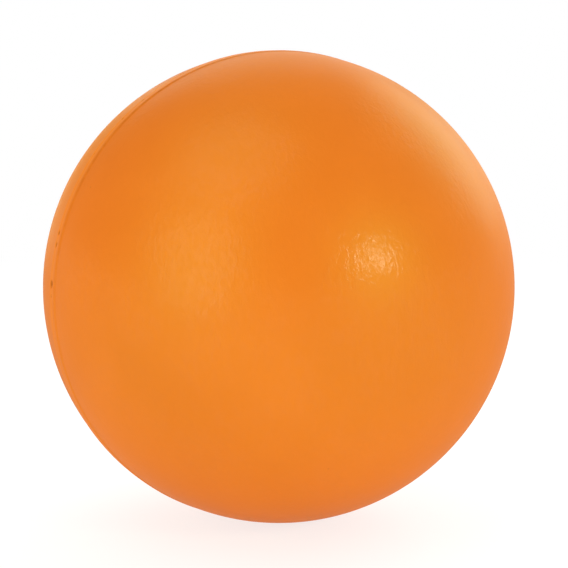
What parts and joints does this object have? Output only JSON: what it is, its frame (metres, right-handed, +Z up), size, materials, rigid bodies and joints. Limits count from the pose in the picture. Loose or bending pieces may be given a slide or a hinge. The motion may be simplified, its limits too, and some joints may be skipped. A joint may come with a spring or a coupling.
{
  "type": "dodgeball",
  "caption": "Inflated rubber dodgeball: satin orange moulded cover with a raised parting line, a wound bladder inside and a needle valve with a removable core on the back pole.",
  "frame": {"origin": "the ball's centre, which is the middle of the cover's bounding box", "axes": "+Z up, +Y out along the valve's axis through the back pole, the mould's parting plane in XZ, so that -Y is the front pole"},
  "size_m": [0.2168, 0.2155, 0.2168],
  "materials": {
    "cover_rubber": "satin moulded orange rubber, faintly crinkled",
    "nylon_yarn": "off-white wound nylon yarn set in cement",
    "butyl_rubber": "smooth black butyl rubber",
    "patch_cloth": "rubberised woven cloth",
    "sleeve_rubber": "matt black moulded rubber",
    "core_rubber": "satin dark brown moulded rubber"
  },
  "bodies": {
    "ball": {"cover_front": "cover_rubber", "cover_back": "cover_rubber", "yarn_winding": "nylon_yarn", "bladder": "butyl_rubber", "valve_patch": "patch_cloth", "valve_base": "sleeve_rubber"},
    "core": {"valve_core": "core_rubber"}
  },
  "joints": [
    {"name": "valve_core_pull", "type": "slide", "parent": "ball", "child": "core", "axis": [0, 1, 0], "range_m": [0, 0.02]}
  ]
}
